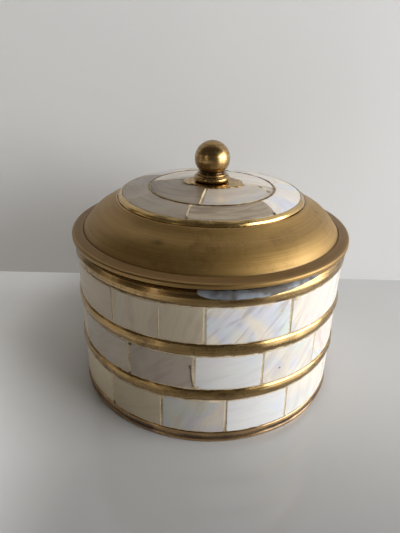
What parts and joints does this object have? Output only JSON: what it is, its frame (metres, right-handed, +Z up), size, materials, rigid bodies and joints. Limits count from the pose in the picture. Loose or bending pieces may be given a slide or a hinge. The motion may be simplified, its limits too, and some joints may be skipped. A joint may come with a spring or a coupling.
{
  "type": "trinket box",
  "caption": "Round trinket box with a lift-off lid: brass bands and a spun brass dome, both inlaid with curved mother-of-pearl tiles, and a ball knob on top.",
  "frame": {"origin": "centre of the foot, on the surface the box stands on", "axes": "+Z up along the axis of the box and the way the lid lifts, -Y towards the front, +X to the right"},
  "size_m": [0.09, 0.09, 0.081],
  "materials": {
    "satin_brass": "aged satin brass with fine turning marks, darker in its grooves",
    "polished_brass": "polished aged brass",
    "mother_of_pearl": "polished mother-of-pearl, milky with a faint play of colour",
    "mastic": "aged cream mastic, matt"
  },
  "bodies": {
    "box": {"foot_ring": "satin_brass", "inner_cup": "satin_brass", "lower_band": "satin_brass", "lower_tile_01": "mother_of_pearl", "lower_tile_02": "mother_of_pearl", "lower_tile_03": "mother_of_pearl", "lower_tile_04": "mother_of_pearl", "lower_tile_05": "mother_of_pearl", "lower_tile_06": "mother_of_pearl", "lower_tile_07": "mother_of_pearl", "lower_tile_08": "mother_of_pearl", "lower_tile_09": "mother_of_pearl", "lower_tile_10": "mother_of_pearl", "lower_tile_11": "mother_of_pearl", "lower_tile_12": "mother_of_pearl", "lower_tile_13": "mother_of_pearl", "mastic_sleeve": "mastic", "middle_tile_01": "mother_of_pearl", "middle_tile_02": "mother_of_pearl", "middle_tile_03": "mother_of_pearl", "middle_tile_04": "mother_of_pearl", "middle_tile_05": "mother_of_pearl", "middle_tile_06": "mother_of_pearl", "middle_tile_07": "mother_of_pearl", "middle_tile_08": "mother_of_pearl", "middle_tile_09": "mother_of_pearl", "middle_tile_10": "mother_of_pearl", "middle_tile_11": "mother_of_pearl", "middle_tile_12": "mother_of_pearl", "mouth_band": "satin_brass", "upper_band": "satin_brass", "upper_tile_01": "mother_of_pearl", "upper_tile_02": "mother_of_pearl", "upper_tile_03": "mother_of_pearl", "upper_tile_04": "mother_of_pearl", "upper_tile_05": "mother_of_pearl", "upper_tile_06": "mother_of_pearl", "upper_tile_07": "mother_of_pearl", "upper_tile_08": "mother_of_pearl", "upper_tile_09": "mother_of_pearl", "upper_tile_10": "mother_of_pearl", "upper_tile_11": "mother_of_pearl"},
    "lid": {"inlay_bed": "mastic", "inlay_divider": "polished_brass", "inlay_frame": "polished_brass", "knob": "polished_brass", "knob_nut": "polished_brass", "knob_plate": "polished_brass", "lid_collar": "satin_brass", "lid_dome": "satin_brass", "lid_inner_tile_1": "mother_of_pearl", "lid_inner_tile_2": "mother_of_pearl", "lid_inner_tile_3": "mother_of_pearl", "lid_inner_tile_4": "mother_of_pearl", "lid_outer_tile_1": "mother_of_pearl", "lid_outer_tile_2": "mother_of_pearl", "lid_outer_tile_3": "mother_of_pearl", "lid_outer_tile_4": "mother_of_pearl", "lid_outer_tile_5": "mother_of_pearl", "lid_outer_tile_6": "mother_of_pearl"}
  },
  "joints": [
    {"name": "lid_lift", "type": "slide", "parent": "box", "child": "lid", "axis": [0, 0, 1], "range_m": [0, 0.08]}
  ]
}
